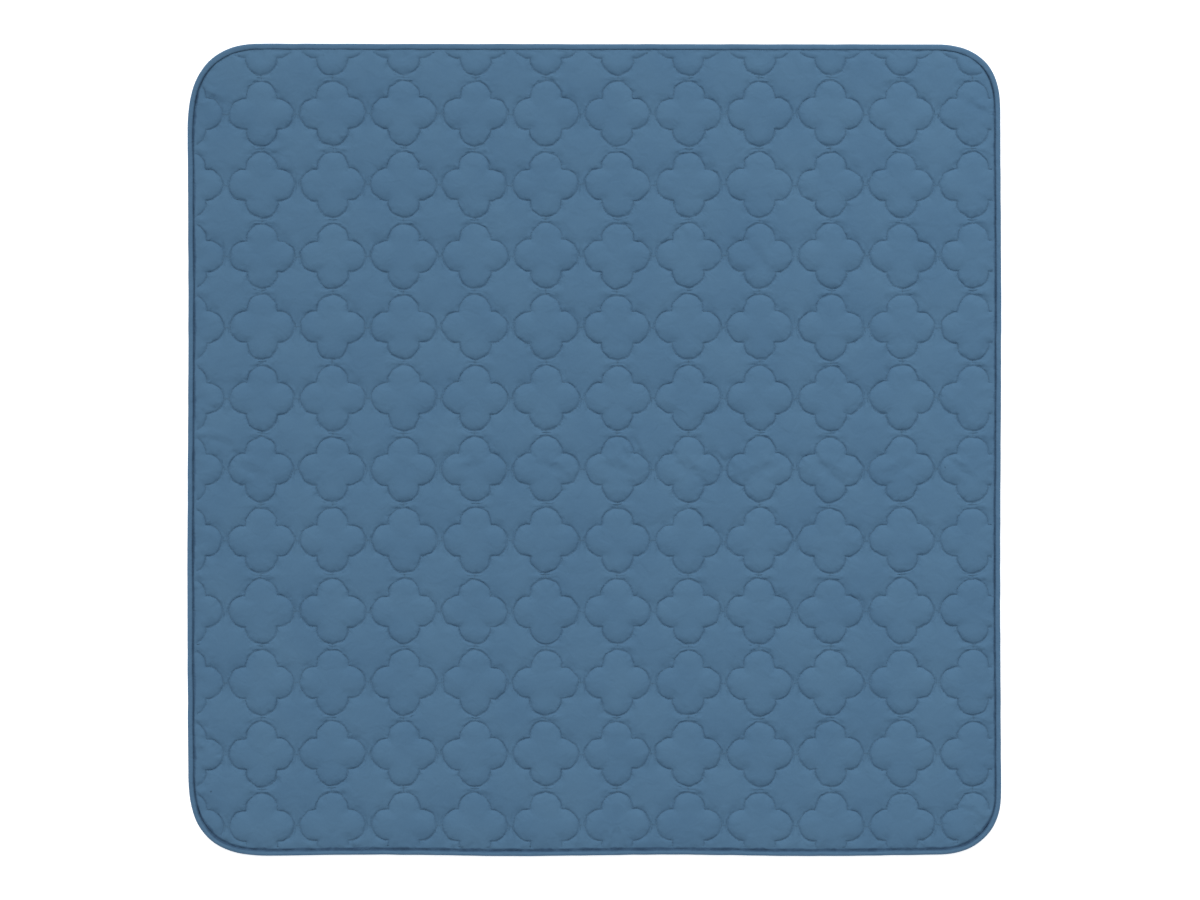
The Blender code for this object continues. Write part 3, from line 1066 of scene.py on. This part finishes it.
def woven_cotton(name, base, worn, groove, ditch):
    """Plain-woven cotton, piece-dyed and washed: matt, with a faint bloom where the light grazes
    it, a fine weave, and painted shade down in the stitched grooves and in the seam's ditch."""
    material, tree = new_tree(name)
    cloth = add_node(tree, "ShaderNodeUVMap", {"uv_map": "cloth"}).outputs["UV"]
    foot = add_node(tree, "ShaderNodeAttribute", {"attribute_name": "stitch_foot"}).outputs["Vector"]
    slub = add_node(tree, "ShaderNodeTexNoise", sockets={"Scale": 1 / SLUB_SIZE, "Detail": 2.0},
                    links={"Vector": cloth}).outputs["Fac"]
    dyed = dyed_colour(tree, cloth, slub, base, worn)
    relief = plain_weave(tree, cloth, slub, soft_folds(tree, cloth, foot))
    shader = add_node(tree, "ShaderNodeBsdfPrincipled", sockets={
        "Roughness": 0.9,
        "IOR": 1.5,
        "Specular IOR Level": 0.25,
        "Sheen Weight": 0.12,
        "Sheen Roughness": 0.5,
        "Sheen Tint": linear("#AFC0CE"),
    }, links={
        "Base Color": sewn_painted_shade(tree, foot, dyed, groove, ditch),
        "Normal": relief.outputs["Normal"],
    })
    add_node(tree, "ShaderNodeOutputMaterial", links={"Surface": shader.outputs["BSDF"]})
    return material


def sewing_thread():
    """Spun polyester sewing thread: two plies twisted together, a little smoother and glossier
    than the cotton, dyed a shade deeper than the cloth."""
    material, tree = new_tree("sewing_thread_polyester")
    on_piece = add_node(tree, "ShaderNodeTexCoord").outputs["Object"]
    twist = add_node(tree, "ShaderNodeTexWave", {"bands_direction": "DIAGONAL"},
                     {"Scale": band_scale(TWIST_LENGTH), "Distortion": 0.4}, {"Vector": on_piece})
    fleck = add_node(tree, "ShaderNodeTexNoise", sockets={"Scale": 1 / FLECK_SIZE, "Detail": 2.0},
                     links={"Vector": on_piece})
    colour = add_node(tree, "ShaderNodeMix", {"data_type": "RGBA"},
                      {"A": linear("#4D6F8C"), "B": linear("#577996")}, {"Factor": fleck.outputs["Fac"]})
    bump = add_node(tree, "ShaderNodeBump", sockets={"Strength": 0.5, "Distance": TWIST_RISE},
                    links={"Height": twist.outputs["Fac"]})
    shader = add_node(tree, "ShaderNodeBsdfPrincipled", sockets={"Roughness": 0.6, "IOR": 1.55}, links={
        "Base Color": colour.outputs["Result"],
        "Normal": bump.outputs["Normal"],
    })
    add_node(tree, "ShaderNodeOutputMaterial", links={"Surface": shader.outputs["BSDF"]})
    return material


def backdrop_paper():
    """White background paper, calendered and matt. It glows a little of its own, so that it
    stays pale and even under the soft light."""
    material, tree = new_tree("white_paper_backdrop")
    shader = add_node(tree, "ShaderNodeBsdfPrincipled", sockets={
        "Base Color": linear("#FAFAFA"),
        "Roughness": 0.95,
        "Emission Color": (1, 1, 1, 1),
        "Emission Strength": FLOOR_GLOW,
    })
    add_node(tree, "ShaderNodeOutputMaterial", links={"Surface": shader.outputs["BSDF"]})
    return material


def finished(mesh, name, material):
    """A bmesh as a smooth piece of the scene in its material."""
    for face in mesh.faces:
        face.smooth = True
    data = bpy.data.meshes.new(name)
    data.materials.append(material)
    mesh.to_mesh(data)
    mesh.free()
    piece = bpy.data.objects.new(name, data)
    bpy.context.scene.collection.objects.link(piece)
    return piece


def hang_light(light, spot):
    """Hangs a light at a spot, turned to the middle of the blanket."""
    lamp = bpy.data.objects.new(light.name, light)
    lamp.location = spot
    lamp.rotation_euler = (Vector((0, 0, 0)) - lamp.location).to_track_quat("-Z", "Y").to_euler()
    bpy.context.scene.collection.objects.link(lamp)


def studio():
    """The camera straight above, a pale floor, a soft light from the back and an even fill."""
    scene = bpy.context.scene
    scene.view_settings.view_transform = "Standard"
    camera = bpy.data.objects.new("camera", bpy.data.cameras.new("camera"))
    camera.data.sensor_width = SENSOR_WIDTH
    camera.data.lens = SENSOR_WIDTH * CAMERA_PLACE[2] / FRAME_WIDTH
    camera.data.clip_start = 0.05
    camera.location = CAMERA_PLACE
    scene.collection.objects.link(camera)
    scene.camera = camera
    softbox = bpy.data.lights.new("softbox", "SUN")
    softbox.energy = SOFTBOX_POWER
    softbox.angle = SOFTBOX_SPREAD
    hang_light(softbox, SOFTBOX_PLACE)
    card = bpy.data.lights.new("white_card", "AREA")
    card.size = CARD_SIZE
    card.energy = CARD_POWER
    hang_light(card, CARD_PLACE)
    world = bpy.data.worlds.new("room")
    world.use_nodes = True
    world.node_tree.nodes["Background"].inputs["Color"].default_value = (1, 1, 1, 1)
    world.node_tree.nodes["Background"].inputs["Strength"].default_value = FILL_LIGHT
    scene.world = world
    mesh = bmesh.new()
    bmesh.ops.create_grid(mesh, x_segments=1, y_segments=1, size=FLOOR_SIZE)
    floor = bpy.data.objects.new("floor", as_data(mesh, "floor"))
    floor.data.materials.append(backdrop_paper())
    scene.collection.objects.link(floor)


studio()
# In each cotton the fourth colour is painted shade in the stitched grooves, and the fifth is painted shade
# in the ditch along the binding's seam
cotton = woven_cotton("quilted_cotton", "#4F7392", "#547896", "#4D6F8B", "#334F6B")
tape = woven_cotton("binding_cotton", "#4F7291", "#547795", "#4D6F8B", "#334F6B")

panel = finished(quilted_panel(), "quilted_cotton_panel", cotton)
binding = finished(edge_binding(), "binding_strip", tape)
thread = finished(stitching(), "quilting_stitches", sewing_thread())

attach(thread, "root")
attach(panel, "root")
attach(binding, "root")
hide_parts("quilted_panel")
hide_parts("edge_binding")
